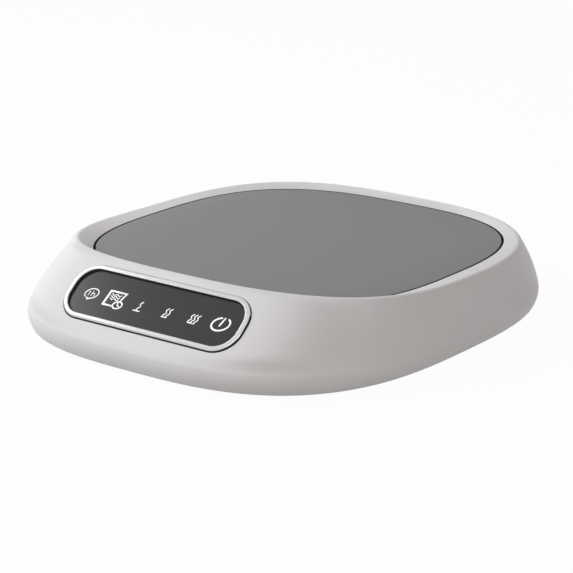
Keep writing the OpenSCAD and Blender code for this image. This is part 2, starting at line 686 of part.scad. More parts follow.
// Flat cable, from the back of the touch board down to the floor and back to the connector
cable_t = 0.6;
cable_w = 9;
cable_x = 0.2 * board_w;
connector_at = [cable_x, board_y - board_l / 2 + 3];
function side_of(path, i, d) =
    let (last = len(path) - 1, v = unit(path[min(i + 1, last)] - path[max(i - 1, 0)]))
    path[i] + [-v[1], v[0]] * d;
module panel_cable() color([0.85, 0.85, 0.86]) {
    start = panel_at + slope_out * (touch_front - touch_t - cable_t / 2) - slope_up * 2;
    low = floor_z + cable_t / 2 + 0.3;
    p0 = [start[1], start[2]];
    p1 = p0 - [cos(slope), sin(slope)] * 4;
    path = concat([for (k = [0 : 0.125 : 0.99]) bend(p0, p1, [p0[0] + 2, low], k)],
        [for (k = [0 : 0.25 : 1]) lerp([p0[0] + 2, low], [connector_at[1] - 7, low], k)],
        [for (k = [0.25 : 0.25 : 1])
            lerp([connector_at[1] - 7, low], [connector_at[1] - 2.1, board_top + 1.5], smooth(k))]);
    last = len(path) - 1;
    translate([cable_x - cable_w / 2, 0, 0]) rotate([90, 0, 90]) linear_extrude(cable_w)
        polygon(concat([for (i = [0 : last]) side_of(path, i, cable_t / 2)],
            [for (i = [last : -1 : 0]) side_of(path, i, -cable_t / 2)]));
}
module cable_connector() color([0.92, 0.9, 0.84]) {
    translate([connector_at[0] - 6, connector_at[1] - 2, board_top]) difference() {
        cube([12, 4.5, 3.6]);
        translate([1, -1, 1.1]) cube([10, 3, 0.9]);
    }
}

module main_board() color([0.1, 0.36, 0.22]) difference() {
    translate([0, board_y]) slab(board_z, board_t) round_rect([board_w, board_l] / 2, 1.5);
    translate([0, board_y, board_z - 1]) at_corners(post_at)
        cylinder(h = board_t + 2, r = small_screw[2] + 0.25);
}
module main_board_screws() color([0.6, 0.6, 0.62]) {
    translate([0, board_y, board_top]) at_corners(post_at) mirror([0, 0, 1])
        screw(small_screw, board_t + post_h + 0.9);
}

// Weight switch under the middle of the plate, and its plunger
switch_at = [0, plate_back + 7];
switch_h = press_z - seat_gap - plate_travel - 0.7 - board_top;
plunger_r = 0.8;
module weight_switch() color([0.14, 0.14, 0.15]) {
    translate([switch_at[0], switch_at[1], board_top]) difference() {
        translate([-4.2, -2, 0]) cube([8.4, 4, switch_h]);
        translate([0, 0, 1]) cylinder(h = switch_h, r = plunger_r + 0.06);
    }
}
module switch_plunger() color([0.75, 0.12, 0.1]) {
    low = board_top + 1 + plate_travel + seat_gap;
    translate([switch_at[0], switch_at[1], low]) cylinder(h = press_z - seat_gap - low, r = plunger_r);
}

// Parts on the main board, placed at parts of its width and length
module on_board(x, y) {
    translate([x * board_w, board_y + y * board_l, board_top]) children();
}
module triac() color([0.13, 0.13, 0.14]) on_board(-0.267, -0.045) {
    translate([-5, -4.6, 0]) cube([10, 9.2, 4.4]);
    difference() {
        translate([-5, 4.6, 0]) cube([10, 6.2, 1.3]);
        translate([0, 8, -1]) cylinder(h = 4, r = 1.8);
    }
    for (x = [-2.54, 0, 2.54]) translate([x - 0.45, -8.4, 0]) cube([0.9, 4, 1.8]);
}
can_r = 3.1;
module supply_capacitor() color([0.12, 0.2, 0.45]) on_board(0.09, 0.045) {
    translate([0, 0, can_r]) rotate([0, 90, 0]) rotate_extrude()
        polygon([[0, 0], [can_r - 0.3, 0], [can_r, 0.3], [can_r, 1.2], [can_r - 0.3, 1.5],
                 [can_r, 1.8], [can_r, 11], [can_r - 0.4, 11.3], [0, 11.3]]);
    for (y = [-1, 1]) translate([-1.4, y * 1.25 - 0.3, 0]) cube([1.6, 0.6, can_r + 0.3]);
}
module filter_capacitor() color([0.85, 0.66, 0.15]) on_board(0.217, 0.318)
    translate([-6.5, -2.5, 0]) slab(0, 6.4) translate([6.5, 2.5]) round_rect([6.5, 2.5], 0.5);
module filter_choke() color([0.2, 0.2, 0.21]) on_board(0.375, -0.205) rotate_extrude()
    polygon([[0, 0], [3.8, 0], [3.8, 0.9], [2.9, 1.1], [2.9, 4.9], [3.8, 5.1], [3.8, 6], [0, 6]]);
module mains_fuse() color([0.55, 0.12, 0.1]) on_board(0, 0.34)
    slab(0, 6.2) round_rect([4.1, 1.9], 1);
module terminal_block() color([0.2, 0.42, 0.3]) on_board(-0.217, 0.352) difference() {
    translate([-5.2, -4, 0]) cube([10.4, 8, 6.6]);
    for (x = [-2.6, 2.6]) {
        translate([x, 0, 3.4]) cylinder(h = 5, r = 1.7);
        translate([x, 1, 2.2]) rotate([-90, 0, 0]) cylinder(h = 8, r = 1.3);
    }
}
module buzzer() color([0.11, 0.11, 0.12]) on_board(0.392, 0.068) difference() {
    cylinder(h = 4, r = 4.2);
    translate([0, 0, 2.8]) cylinder(h = 3, r = 0.8);
}
module controller_chip() color([0.12, 0.12, 0.13]) on_board(-0.05, -0.08) {
    translate([-5, -2, 0.2]) cube([10, 4, 1.5]);
    for (i = [0 : 7]) translate([-4.45 + i * 1.27 - 0.2, -3.1, 0]) cube([0.4, 6.2, 0.5]);
}

// Leads between the moving plate and the board, upright at both ends
lead_gap = 0.1;
function lead_path(a, b) = concat([a], [for (k = [0 : 0.1 : 1.001])
    [lerp(a[0], b[0], smooth(k)), lerp(a[1], b[1], smooth(k)), lerp(a[2] + 0.5, b[2] - 0.5, k)]],
    [b]);
module heater_leads() color([0.9, 0.9, 0.88]) {
    for (i = [0, 1]) let (p = lead_spots[i])
        tube(lead_path([3 - board_w / 2 + 3.5 * i, plate_back + 7, board_top], [p[0], p[1],
            press_z - 1.2 - lead_gap]), 0.8, 8, [1, 0, 0]);
}
module sensor_leads() color([0.2, 0.2, 0.22]) {
    for (y = [-0.6, 0.6])
        tube(lead_path([sensor_at[0] - 9, sensor_at[1] + 5 + y, board_top],
            [sensor_at[0], sensor_at[1] + y, press_z - 1.4 - lead_gap]), 0.45, 8, [0, 1, 0]);
}

// Gland that lines the cord outlet in the back wall
module cord_gland() color([0.14, 0.14, 0.15]) {
    nose = body_l / 2;
    translate([0, nose, cord_z]) rotate([90, 0, 0]) difference() {
        union() {
            cylinder(h = nose - gland_in, r = gland_r);
            translate([0, 0, nose - gland_in - 1.4]) cylinder(h = 1.4, r = gland_r + 1.3);
        }
        translate([0, 0, -1]) cylinder(h = nose - gland_in + 2, r = cord_hole_d / 2);
    }
}

upper_housing();
base_cover();
rubber_feet();
housing_screws();
heating_plate();
plate_seal();
plate_carrier();
mica_sheet_top();
heater_ribbon();
mica_sheet_bottom();
insulation_pad();
pressure_plate();
pressure_plate_screws();
thermostat();
thermal_fuse();
temperature_sensor();
guide_pins();
plate_springs();
panel_bezel();
panel_gasket();
panel_glass();
light_frame();
touch_board();
touch_board_screws();
indicator_leds();
panel_cable();
cable_connector();
main_board();
main_board_screws();
weight_switch();
switch_plunger();
triac();
supply_capacitor();
filter_capacitor();
filter_choke();
mains_fuse();
terminal_block();
buzzer();
controller_chip();
heater_leads();
sensor_leads();
cord_gland();
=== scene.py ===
"""Looks of the mug warmer: housing, plate, panel and signs, inner pieces, camera and light."""

import json
import math

import bmesh
import bpy
from mathutils import Matrix, Vector
from mathutils.bvhtree import BVHTree


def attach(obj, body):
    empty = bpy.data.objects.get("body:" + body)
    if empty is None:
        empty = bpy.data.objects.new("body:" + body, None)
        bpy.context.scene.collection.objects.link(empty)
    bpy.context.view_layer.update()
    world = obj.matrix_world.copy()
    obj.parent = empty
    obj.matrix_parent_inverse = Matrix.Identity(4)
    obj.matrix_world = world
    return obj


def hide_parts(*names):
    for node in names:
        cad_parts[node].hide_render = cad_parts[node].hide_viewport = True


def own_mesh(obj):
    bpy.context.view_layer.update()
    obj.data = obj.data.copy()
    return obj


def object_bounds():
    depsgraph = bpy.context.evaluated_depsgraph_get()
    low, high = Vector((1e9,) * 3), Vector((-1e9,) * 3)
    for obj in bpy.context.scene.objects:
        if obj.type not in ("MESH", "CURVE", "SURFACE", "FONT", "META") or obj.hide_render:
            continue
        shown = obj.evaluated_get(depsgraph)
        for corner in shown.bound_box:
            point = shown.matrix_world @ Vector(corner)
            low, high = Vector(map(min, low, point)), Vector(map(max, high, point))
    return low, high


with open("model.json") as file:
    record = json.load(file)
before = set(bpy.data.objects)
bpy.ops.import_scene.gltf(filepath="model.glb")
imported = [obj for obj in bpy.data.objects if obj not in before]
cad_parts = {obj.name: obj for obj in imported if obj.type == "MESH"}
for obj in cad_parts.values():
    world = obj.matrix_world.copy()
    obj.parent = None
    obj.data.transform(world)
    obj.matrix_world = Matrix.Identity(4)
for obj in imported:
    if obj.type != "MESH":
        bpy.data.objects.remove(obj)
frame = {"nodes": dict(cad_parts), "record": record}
nodes = frame["nodes"]
lo0, hi0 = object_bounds()

MM = 0.001

# ---------------------------------------------------------------- sizes in millimetres
BODY_W, BODY_L, BODY_N = 118.8, 132.7, 2.95
WIDEST_Z, SKIRT_GAP, SKIRT_IN = 6.9, 1.2, 1.0
SKIRT_BULGE, WALL_BULGE, WALL_T = 0.7, 0.9, 2.0
RIM_SIDE, RIM_FRONT, RIM_BACK, CREST_N = 5.85, 2.6, 1.6, 2.9
RIM_RISE, RIM_TILT, RIM_SADDLE, CREST_ROUND, CREASE = 0.65, 0.9, 2.4, 1.1, 0.45
PLATE_R, PLATE_N, PLATE_T, PLATE_TOP, PLATE_BACK = 50.0, 2.88, 2.5, 19.1, 5.45
PLATE_GAP, LIP_ROUND, LIP_DROP = 0.57, 0.55, 0.05
LIP_R = PLATE_R + PLATE_GAP
COLLAR_T, COLLAR_Z, COLLAR_ROOM, ROOF_T = 1.8, 14.5, 0.4, 2.6
GLASS_W, GLASS_H, GLASS_R, GLASS_T, GASKET_T = 54.4, 13.3, 5.4, 1.0, 0.2
BEZEL_W, BEZEL_PROUD, GLASS_DEEP, SEAT_DEEP = 1.35, 0.45, 0.55, 2.4
# height of the dressed glass's face over the panel plane; the solid's is -GLASS_DEEP
FACE = -0.3
PANEL_UP, PANEL_SINK, PANEL_X, POCKET_GAP = 1.1, 0.75, 0.6, 0.22
# the wall flattens towards the panel: the distance over which that fades out, its share
# beside the panel, and the part of the wall's height in which it sets in
FLAT_FADE, FLAT_MOST, FLAT_GUARD = 24, 0.8, 0.14
CREST_A = PLATE_R + RIM_SIDE
CREST_B = PLATE_R + (RIM_FRONT + RIM_BACK) / 2
CREST_Y = PLATE_BACK + (RIM_BACK - RIM_FRONT) / 2


# ---------------------------------------------------------------- lines of the body
def sq(a, b, n, t):
    """Point at polar angle t on a squircle with half axes a and b."""
    c, s = math.cos(t), math.sin(t)
    r = (abs(c / a) ** n + abs(s / b) ** n) ** (-1 / n)
    return r * c, r * s


def widest(t):
    x, y = sq(BODY_W / 2, BODY_L / 2, BODY_N, t)
    return Vector((x, y, WIDEST_Z))


def skirt_edge(t):
    x, y = sq(BODY_W / 2 - SKIRT_IN, BODY_L / 2 - SKIRT_IN, BODY_N, t)
    return Vector((x, y, SKIRT_GAP))


def crest(t):
    x, y = sq(CREST_A, CREST_B, CREST_N, t)
    y += CREST_Y
    u = (PLATE_BACK - y) / PLATE_R
    return Vector((x, y, PLATE_TOP + RIM_RISE + RIM_TILT * u + RIM_SADDLE * u * u))


def lip(t, grow=0.0, z=PLATE_TOP):
    x, y = sq(LIP_R + grow, LIP_R + grow, PLATE_N, t)
    return Vector((x, y + PLATE_BACK, z))


def smooth(x):
    v = min(1.0, max(0.0, x))
    return v * v * (3 - 2 * v)


FRONT = -math.pi / 2
RUN = crest(FRONT) - widest(FRONT)
SLOPE = math.atan2(RUN.z, RUN.y)
UP = Vector((0, math.cos(SLOPE), math.sin(SLOPE)))
OUT = Vector((0, -math.sin(SLOPE), math.cos(SLOPE)))
PANEL_AT = (widest(FRONT) + crest(FRONT)) / 2 + UP * PANEL_UP + OUT * (WALL_BULGE - PANEL_SINK)
PANEL_AT.x = PANEL_X
OPEN_HALF = (GLASS_W / 2 + GASKET_T, GLASS_H / 2 + GASKET_T)
OPEN_R = GLASS_R + GASKET_T
BEZEL_HALF = (OPEN_HALF[0] + BEZEL_W, OPEN_HALF[1] + BEZEL_W)
BEZEL_R = OPEN_R + BEZEL_W


def panel_far(x, s):
    """Distance from the bezel's outer edge, along the panel plane."""
    dx = max(0.0, abs(x) - BEZEL_HALF[0] + BEZEL_R)
    ds = max(0.0, abs(s) - BEZEL_HALF[1] + BEZEL_R)
    return math.hypot(dx, ds) - BEZEL_R


def wall(k, t):
    """Outer wall, from the widest line (k = 0) to the crest (k = 1)."""
    m = widest(t)
    d = crest(t) - m
    run = math.hypot(d.x, d.y)
    out = Vector((-d.x * d.z / run, -d.y * d.z / run, run)).normalized()
    return m + d * k + out * 4 * k * (1 - k) * WALL_BULGE


def wall_flat(k, t):
    """Outer wall, flattened round the panel."""
    p = wall(k, t)
    q = p - PANEL_AT
    if p.y >= 0 or k <= 0 or k >= 1:
        return p
    w = FLAT_MOST * (1 - smooth(panel_far(q.x, q.dot(UP)) / FLAT_FADE))
    return p - OUT * q.dot(OUT) * w * smooth(k / FLAT_GUARD) * smooth((1 - k) / FLAT_GUARD)


def skirt(k, t):
    """Outer side below the widest line, from the skirt's edge (k = 0) up."""
    m = widest(t)
    b = skirt_edge(t)
    return b.lerp(m, k) + Vector((m.x, m.y, 0)).normalized() * 4 * k * (1 - k) * SKIRT_BULGE


def bend(a, b, c, k):
    """Point on a round from a to c that turns at b."""
    return a.lerp(b, k).lerp(b.lerp(c, k), k)


def wall_in(k, t):
    """Inner side of the wall."""
    p = wall(k, t)
    d = crest(t) - widest(t)
    f = 1 - WALL_T * d.length / d.z / math.hypot(p.x, p.y)
    return Vector((p.x * f, p.y * f, p.z))


def roof_k(t):
    """Part of the wall's height at which the roof meets its inner side."""
    m, c = widest(t), crest(t)
    level = WALL_T * (c - m).length / (c.z - m.z)
    j = lip(t, COLLAR_T)
    r_c = math.hypot(j.x, j.y) + level + COLLAR_ROOM
    r_m = math.hypot(m.x, m.y)
    return min((c.z - ROOF_T - m.z) / (c.z - m.z), (r_m - r_c) / (r_m - math.hypot(c.x, c.y)))


def section(t):
    """Closed section of the housing at polar angle t: outer side, top, collar, inner side."""
    m, c, l, b = widest(t), crest(t), lip(t), skirt_edge(t)
    bx, by = sq(BODY_W / 2 - SKIRT_IN - WALL_T, BODY_L / 2 - SKIRT_IN - WALL_T, BODY_N, t)
    in_b = Vector((bx, by, SKIRT_GAP))
    k1 = CREST_ROUND / (c - m).length
    k0 = CREASE / (c - m).length
    w0, w1 = wall_flat(k0, t), wall_flat(1 - k1, t)
    s1 = skirt(1 - CREASE / (m - b).length, t)
    c1 = c.lerp(l, CREST_ROUND / (c - l).length)
    l1 = l.lerp(c, LIP_ROUND / (c - l).length)
    l2 = lip(t, 0, PLATE_TOP - LIP_DROP)
    b1 = b.lerp(in_b, 0.3)
    b2 = skirt(0.1, t)
    kr = roof_k(t)
    roof = wall_in(kr, t)
    rows = [in_b, b1] + [bend(b1, b, b2, i / 4) for i in range(1, 4)]
    rows += [skirt(k / 10, t) for k in range(1, 10)]
    rows += [bend(s1, m, w0, i / 6) for i in range(7)]
    rows += [wall_flat(k0 + (1 - k0 - k1) * i / 25, t) for i in range(1, 25)]
    rows += [bend(w1, c, c1, i / 8) for i in range(9)]
    rows += [c1.lerp(l1, i / 5) for i in range(1, 5)]
    rows += [bend(l1, l, l2, i / 4) for i in range(5)]
    rows += [lip(t, 0, COLLAR_Z), lip(t, COLLAR_T, COLLAR_Z), lip(t, COLLAR_T, roof.z), roof]
    rows += [wall_in(kr / 2, t), wall_in(0, t)]
    return rows


# ---------------------------------------------------------------- mesh helpers
PLATE_STEPS = 320
# the angle in degrees over which an edge stays sharp after a cut
CUT_SHARP = 28


def new_object(name, bm, body, mat, angle=35):
    bmesh.ops.remove_doubles(bm, verts=bm.verts, dist=1e-8)
    me = bpy.data.meshes.new(name)
    bm.to_mesh(me)
    bm.free()
    me.polygons.foreach_set("use_smooth", [True] * len(me.polygons))
    if angle:
        me.set_sharp_from_angle(angle=math.radians(angle))
    o = bpy.data.objects.new(name, me)
    bpy.context.scene.collection.objects.link(o)
    if body:
        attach(o, body)
    if mat:
        me.materials.append(mat)
    return o


def grid(bm, rows, close_rows=True, close_cols=True):
    """Faces between rings of points: rows[i][j]; each closed or open."""
    vs = [[bm.verts.new(p * MM) for p in row] for row in rows]
    n, m = len(vs), len(vs[0])
    for i in range(n if close_rows else n - 1):
        for j in range(m if close_cols else m - 1):
            a, b = vs[i][j], vs[(i + 1) % n][j]
            c, d = vs[(i + 1) % n][(j + 1) % m], vs[i][(j + 1) % m]
            bm.faces.new((a, b, c, d))
    return vs


def cap(bm, ring, flip=False):
    bm.faces.new(list(reversed(ring)) if flip else ring)


def outline(r):
    """Points (x, y) of the plate's outline at half width r."""
    pts = []
    for i in range(PLATE_STEPS):
        x, y = sq(r, r, PLATE_N, 2 * math.pi * i / PLATE_STEPS)
        pts.append((x, y + PLATE_BACK))
    return pts


def round_rect(half, r, steps=16, grow=0.0):
    hx, hy, r = half[0] + grow, half[1] + grow, max(0.01, r + grow)
    pts = []
    for q, (sx, sy) in enumerate(((1, 1), (-1, 1), (-1, -1), (1, -1))):
        for i in range(steps + 1):
            a = math.pi / 2 * (q + i / steps)
            pts.append((sx * (hx - r) + r * math.cos(a), sy * (hy - r) + r * math.sin(a)))
    return pts


def on_panel(x, s, h):
    """Point x across, s up and h over the panel plane."""
    return PANEL_AT + Vector((x, 0, 0)) + UP * s + OUT * h


def lathe(bm, profile, steps=48, place=None):
    """Turns (r, z) points round +Z; no two in a row on the axis; place is a matrix in mm."""
    place = place or Matrix()
    rings = []
    for r, z in profile:
        turns = [2 * math.pi * j / steps for j in range(steps if r else 1)]
        rings.append([bm.verts.new(place @ Vector((r * math.cos(a), r * math.sin(a), z)) * MM)
                      for a in turns])
    for lower, upper in zip(rings, rings[1:]):
        for j in range(steps):
            k = (j + 1) % steps
            if len(lower) == 1:
                bm.faces.new((lower[0], upper[k], upper[j]))
            elif len(upper) == 1:
                bm.faces.new((lower[j], lower[k], upper[0]))
            else:
                bm.faces.new((lower[j], lower[k], upper[k], upper[j]))


def prism(bm, pts, lift, z0, z1):
    """Closed prism over pts; lift(x, y, z) gives a point in mm."""
    low = [bm.verts.new(lift(x, y, z0) * MM) for x, y in pts]
    high = [bm.verts.new(lift(x, y, z1) * MM) for x, y in pts]
    n = len(pts)
    for i in range(n):
        bm.faces.new((low[i], low[(i + 1) % n], high[(i + 1) % n], high[i]))
    bm.faces.new(list(reversed(low)))
    bm.faces.new(high)


def bake_boolean(o, steps):
    """Joins or cuts o with each tool in turn, and keeps the result as its mesh."""
    for operation, c in steps:
        mod = o.modifiers.new("step", "BOOLEAN")
        mod.operation = operation
        mod.solver = "EXACT"
        mod.object = c
    dg = bpy.context.evaluated_depsgraph_get()
    me = bpy.data.meshes.new_from_object(o.evaluated_get(dg))
    o.modifiers.clear()
    o.data = me
    for _, c in steps:
        bpy.data.objects.remove(c)
    me.polygons.foreach_set("use_smooth", [True] * len(me.polygons))
    me.set_sharp_from_angle(angle=math.radians(CUT_SHARP))


# ---------------------------------------------------------------- materials
def material(
    name, color, rough=0.5, metal=0.0, vary=0.04, scale=300.0, bump=0.0, bump_scale=2500.0,
    rough_vary=0.06, coat=0.0, stretch=(1, 1, 1), specular=0.5,
):
    """Colour and roughness vary with one noise, and a finer one gives the bumps."""
    mat = bpy.data.materials.new(name)
    mat.use_nodes = True
    nt = mat.node_tree
    bsdf = nt.nodes["Principled BSDF"]
    coord = nt.nodes.new("ShaderNodeTexCoord")
    mapping = nt.nodes.new("ShaderNodeMapping")
    mapping.inputs["Scale"].default_value = stretch
    nt.links.new(coord.outputs["Object"], mapping.inputs["Vector"])
    noise = nt.nodes.new("ShaderNodeTexNoise")
    noise.inputs["Scale"].default_value = scale
    noise.inputs["Detail"].default_value = 4.0
    nt.links.new(mapping.outputs["Vector"], noise.inputs["Vector"])
    ramp = nt.nodes.new("ShaderNodeValToRGB")
    ramp.color_ramp.elements[0].position = 0.3
    ramp.color_ramp.elements[1].position = 0.7
    ramp.color_ramp.elements[0].color = [max(0, c * (1 - vary)) for c in color] + [1]
    ramp.color_ramp.elements[1].color = [min(1, c * (1 + vary)) for c in color] + [1]
    nt.links.new(noise.outputs["Fac"], ramp.inputs["Fac"])
    nt.links.new(ramp.outputs["Color"], bsdf.inputs["Base Color"])
    rr = nt.nodes.new("ShaderNodeMapRange")
    rr.inputs["To Min"].default_value = max(0.02, rough - rough_vary)
    rr.inputs["To Max"].default_value = min(1.0, rough + rough_vary)
    nt.links.new(noise.outputs["Fac"], rr.inputs["Value"])
    nt.links.new(rr.outputs["Result"], bsdf.inputs["Roughness"])
    bsdf.inputs["Metallic"].default_value = metal
    bsdf.inputs["Specular IOR Level"].default_value = specular
    if coat:
        bsdf.inputs["Coat Weight"].default_value = coat
        bsdf.inputs["Coat Roughness"].default_value = 0.08
    if bump:
        fine = nt.nodes.new("ShaderNodeTexNoise")
        fine.inputs["Scale"].default_value = bump_scale
        fine.inputs["Detail"].default_value = 2.0
        nt.links.new(mapping.outputs["Vector"], fine.inputs["Vector"])
        bn = nt.nodes.new("ShaderNodeBump")
        bn.inputs["Strength"].default_value = bump
        bn.inputs["Distance"].default_value = 0.0001
        nt.links.new(fine.outputs["Fac"], bn.inputs["Height"])
        nt.links.new(bn.outputs["Normal"], bsdf.inputs["Normal"])
    return mat


M = {
    "body_white": material(
        "body_white", (0.77, 0.765, 0.765), 0.42, vary=0.012, scale=60, bump=0.05, specular=0.35
    ),
    "base_grey": material("base_grey", (0.44, 0.44, 0.43), 0.6, vary=0.03, bump=0.2),
    "rubber_black": material("rubber_black", (0.022, 0.022, 0.024), 0.8, vary=0.15, bump=0.3),
    "screw_steel": material("screw_steel", (0.45, 0.46, 0.48), 0.32, 1.0, vary=0.08, scale=900),
    "plate_grey": material(
        "plate_grey", (0.235, 0.227, 0.241), 0.5, 0.0, vary=0.03, scale=40, bump=0.06,
        bump_scale=6000, specular=0.22
    ),
    "silicone_red": material("silicone_red", (0.45, 0.08, 0.045), 0.6, vary=0.06),
    "carrier_dark": material("carrier_dark", (0.045, 0.04, 0.037), 0.6, vary=0.1, bump=0.2),
    "mica": material("mica", (0.52, 0.4, 0.2), 0.4, vary=0.2, scale=120, stretch=(1, 1, 6)),
    "ribbon_steel": material("ribbon_steel", (0.5, 0.47, 0.4), 0.3, 1.0, vary=0.1, scale=500),
    "insulation_white": material(
        "insulation_white", (0.78, 0.75, 0.66), 0.9, vary=0.08, scale=900, bump=0.6,
        bump_scale=1800
    ),
    "sheet_aluminium": material(
        "sheet_aluminium", (0.62, 0.63, 0.65), 0.35, 1.0, vary=0.06, scale=400, stretch=(8, 1, 1)
    ),
    "black_plastic": material("black_plastic", (0.016, 0.016, 0.018), 0.5, vary=0.12, bump=0.15),
    "black_gloss": material("black_gloss", (0.018, 0.018, 0.02), 0.2, vary=0.1, coat=0.4),
    "bezel_chrome": material(
        "bezel_chrome", (0.61, 0.607, 0.607), 0.24, 1.0, vary=0.02, scale=200, rough_vary=0.03
    ),
    "panel_dark": material(
        "panel_dark", (0.013, 0.013, 0.013), 0.2, 0.0, vary=0.05, scale=30, rough_vary=0.02,
        specular=0.48
    ),
    "diffuser_white": material("diffuser_white", (0.9, 0.9, 0.9), 0.5, vary=0.02, scale=400),
    "board_green": material(
        "board_green", (0.015, 0.11, 0.045), 0.3, vary=0.15, scale=350, coat=0.4
    ),
    "lamp_cream": material("lamp_cream", (0.9, 0.86, 0.62), 0.2, vary=0.04, coat=0.5),
    "cable_grey": material(
        "cable_grey", (0.62, 0.62, 0.63), 0.5, vary=0.1, scale=1200, stretch=(1, 0.02, 0.02)
    ),
    "connector_cream": material("connector_cream", (0.8, 0.75, 0.62), 0.5, vary=0.03),
    "plunger_red": material("plunger_red", (0.48, 0.02, 0.015), 0.3, vary=0.06, coat=0.2),
    "sleeve_blue": material("sleeve_blue", (0.02, 0.045, 0.16), 0.3, vary=0.08, coat=0.3),
    "capacitor_yellow": material("capacitor_yellow", (0.7, 0.4, 0.025), 0.45, vary=0.05),
    "fuse_brown": material("fuse_brown", (0.2, 0.02, 0.012), 0.4, vary=0.08),
    "terminal_green": material("terminal_green", (0.03, 0.14, 0.07), 0.45, vary=0.06),
    "lead_white": material(
        "lead_white", (0.78, 0.78, 0.74), 0.8, vary=0.08, scale=1500, bump=0.5, bump_scale=4000
    ),
    "lead_black": material("lead_black", (0.03, 0.03, 0.035), 0.5, vary=0.1),
}

slots = {s["node"]: s["material_slot"] for s in frame["record"]["subparts"]}
for name, node in nodes.items():
    node.data.materials.clear()
    node.data.materials.append(M[slots.get(name, name)])

# ---------------------------------------------------------------- housing
STEPS = 384
# nothing of the dressed housing is higher than the solids
HIGH = hi0[2] / MM
bm = bmesh.new()
rings = [section(2 * math.pi * i / STEPS) for i in range(STEPS)]
for ring in rings:
    for p in ring:
        p.z = min(p.z, HIGH)
grid(bm, rings)
bmesh.ops.recalc_face_normals(bm, faces=bm.faces)
housing_skin = BVHTree.FromBMesh(bm)
housing = new_object("housing_shell", bm, "base", M["body_white"])


def tool(build):
    """A closed mesh for bake_boolean, made by build."""
    bmc = bmesh.new()
    build(bmc)
    bmesh.ops.recalc_face_normals(bmc, faces=bmc.faces)
    return new_object("tool", bmc, None, None)


# the touch board's front and its screws, the housing's bosses and ribs, and the screw spots
TOUCH_FRONT = -SEAT_DEEP - 2.6
TOUCH_SCREW_X = BEZEL_HALF[0] - 1.3
TOUCH_POST_R, TOUCH_HOLE_R, BOSS_HOLE_R, RIB_HALF = 2, 0.9, 1.3, 0.9
BOSS_Z, RIB_Z, BOSS_R, FRONT_BOSS_TOP, BACK_BOSS_TOP = 5.3, 6.8, 2.9, 14.2, 11.0
FRONT_SPOT_IN, BACK_SPOT_IN = 9.5, 8.6
# the gland's outlet in the back wall: height of its middle, radius, length and outer end
OUTLET_Z, OUTLET_R, OUTLET_LONG, OUTLET_Y = 9.2, 3.8, 14, 68.35
SPOT = sq(BODY_W / 2, BODY_L / 2, BODY_N, math.radians(50))
SPOTS = []
for sx, sy in ((1, 1), (-1, 1), (-1, -1), (1, -1)):
    k = 1 - (FRONT_SPOT_IN if sy < 0 else BACK_SPOT_IN) / math.hypot(*SPOT)
    SPOTS.append((sx * SPOT[0] * k, sy * SPOT[1] * k))


def tower(b, x, y, z0, z1, r):
    lathe(b, [(0, z0), (r, z0), (r, z1), (0, z1)], 40, Matrix.Translation((x, y, 0)))


def panel_post(b, x, h0, h1, r):
    lathe(b, [(0, h0), (r, h0), (r, h1), (0, h1)], 32,
          Matrix.Translation(on_panel(x, 0, 0)) @ Matrix.Rotation(SLOPE, 4, "X"))


def seat_and_bosses(b):
    prism(b, round_rect((BEZEL_HALF[0] + 1.8, BEZEL_HALF[1] + 1.2), BEZEL_R + 1.2), on_panel,
          -SEAT_DEEP - 1.6, -SEAT_DEEP + 1.4)
    for x, y in SPOTS:
        tower(b, x, y, BOSS_Z, FRONT_BOSS_TOP if y < 0 else BACK_BOSS_TOP, BOSS_R)


def ribs_and_posts(b):
    for x, y in SPOTS:
        t = math.atan2(y, x)
        turn, foot = Matrix.Rotation(t, 3, "Z"), Vector((x, y, 0))
        m, c, r = widest(t), crest(t), math.hypot(x, y) + WALL_T / 2
        r_m, r_c = math.hypot(m.x, m.y), math.hypot(c.x, c.y)
        ends = [r_m + (r_c - r_m) * (z - m.z) / (c.z - m.z) - r for z in (RIB_Z, BACK_BOSS_TOP)]
        prism(b, [(0, RIB_Z), (ends[0], RIB_Z), (ends[1], BACK_BOSS_TOP), (0, BACK_BOSS_TOP)],
              lambda u, v, w, q=foot, k=turn: q + k @ Vector((u, w, v)), -RIB_HALF, RIB_HALF)
    for x in (-1, 1):
        panel_post(b, x * TOUCH_SCREW_X, TOUCH_FRONT, -SEAT_DEEP - 1, TOUCH_POST_R)


def pocket_and_holes(b):
    skin = []
    for x, y in round_rect(BEZEL_HALF, BEZEL_R, 24, POCKET_GAP):
        hit = housing_skin.ray_cast(on_panel(x, y, 4) * MM, -OUT)[0]
        skin.append((hit / MM - PANEL_AT).dot(OUT))
    rings = []
    # the pocket's mouth follows the skin: (how much wider, height over the skin)
    for grow, lift in ((0, None), (0, -0.2), (0.07, -0.06), (0.2, 0.02), (0.9, 0.3)):
        pts = round_rect(BEZEL_HALF, BEZEL_R, 24, POCKET_GAP + grow)
        rings.append([on_panel(x, y, -SEAT_DEEP if lift is None else h + lift)
                      for (x, y), h in zip(pts, skin)])
    rings.append([on_panel(x, y, 6) for x, y in pts])
    vs = grid(b, rings, close_rows=False)
    cap(b, vs[0], True)
    cap(b, vs[-1])
    for x, y in SPOTS:
        tower(b, x, y, BOSS_Z - 1, BOSS_Z + 5, BOSS_HOLE_R)
    lathe(b, [(0, 0), (OUTLET_R, 0), (OUTLET_R, OUTLET_LONG), (0, OUTLET_LONG)], 48,
          Matrix.Translation((0, OUTLET_Y, OUTLET_Z)) @ Matrix.Rotation(math.pi / 2, 4, "X"))


def window_and_holes(b):
    # the light frame's window in the seat
    prism(b, round_rect((25.3, 4.85), 1.4), on_panel, TOUCH_FRONT - 2, -SEAT_DEEP + 0.5)
    for x in (-1, 1):
        panel_post(b, x * TOUCH_SCREW_X, TOUCH_FRONT - 1, TOUCH_FRONT + 1.4, TOUCH_HOLE_R)


